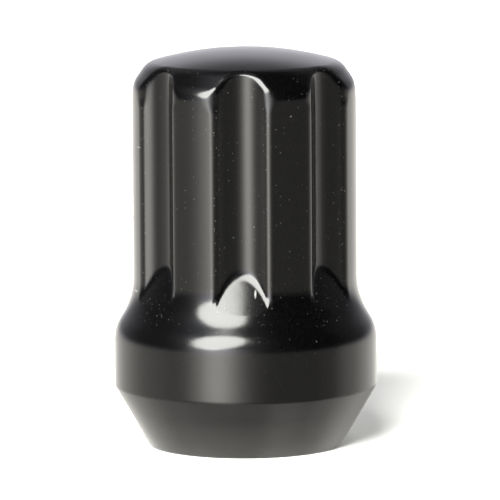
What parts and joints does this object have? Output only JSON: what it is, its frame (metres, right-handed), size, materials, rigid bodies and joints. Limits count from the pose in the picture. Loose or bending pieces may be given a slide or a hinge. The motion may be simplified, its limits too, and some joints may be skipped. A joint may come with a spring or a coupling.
{
  "type": "lug nut",
  "caption": "Closed-end wheel lug nut with a domed top, fluted spline-drive shank, flared round collar and conical seat, standing on its open threaded end.",
  "frame": {"origin": "centre of the open end face, at the mouth of the threaded bore", "axes": "+Z along the nut's axis from the open end to the domed end; one flute of the shank faces -Y"},
  "size_m": [0.0258, 0.0258, 0.0392],
  "materials": {
    "black_coat": "gloss"
  },
  "bodies": {
    "root": {"lug_nut": "black_coat"}
  },
  "joints": []
}
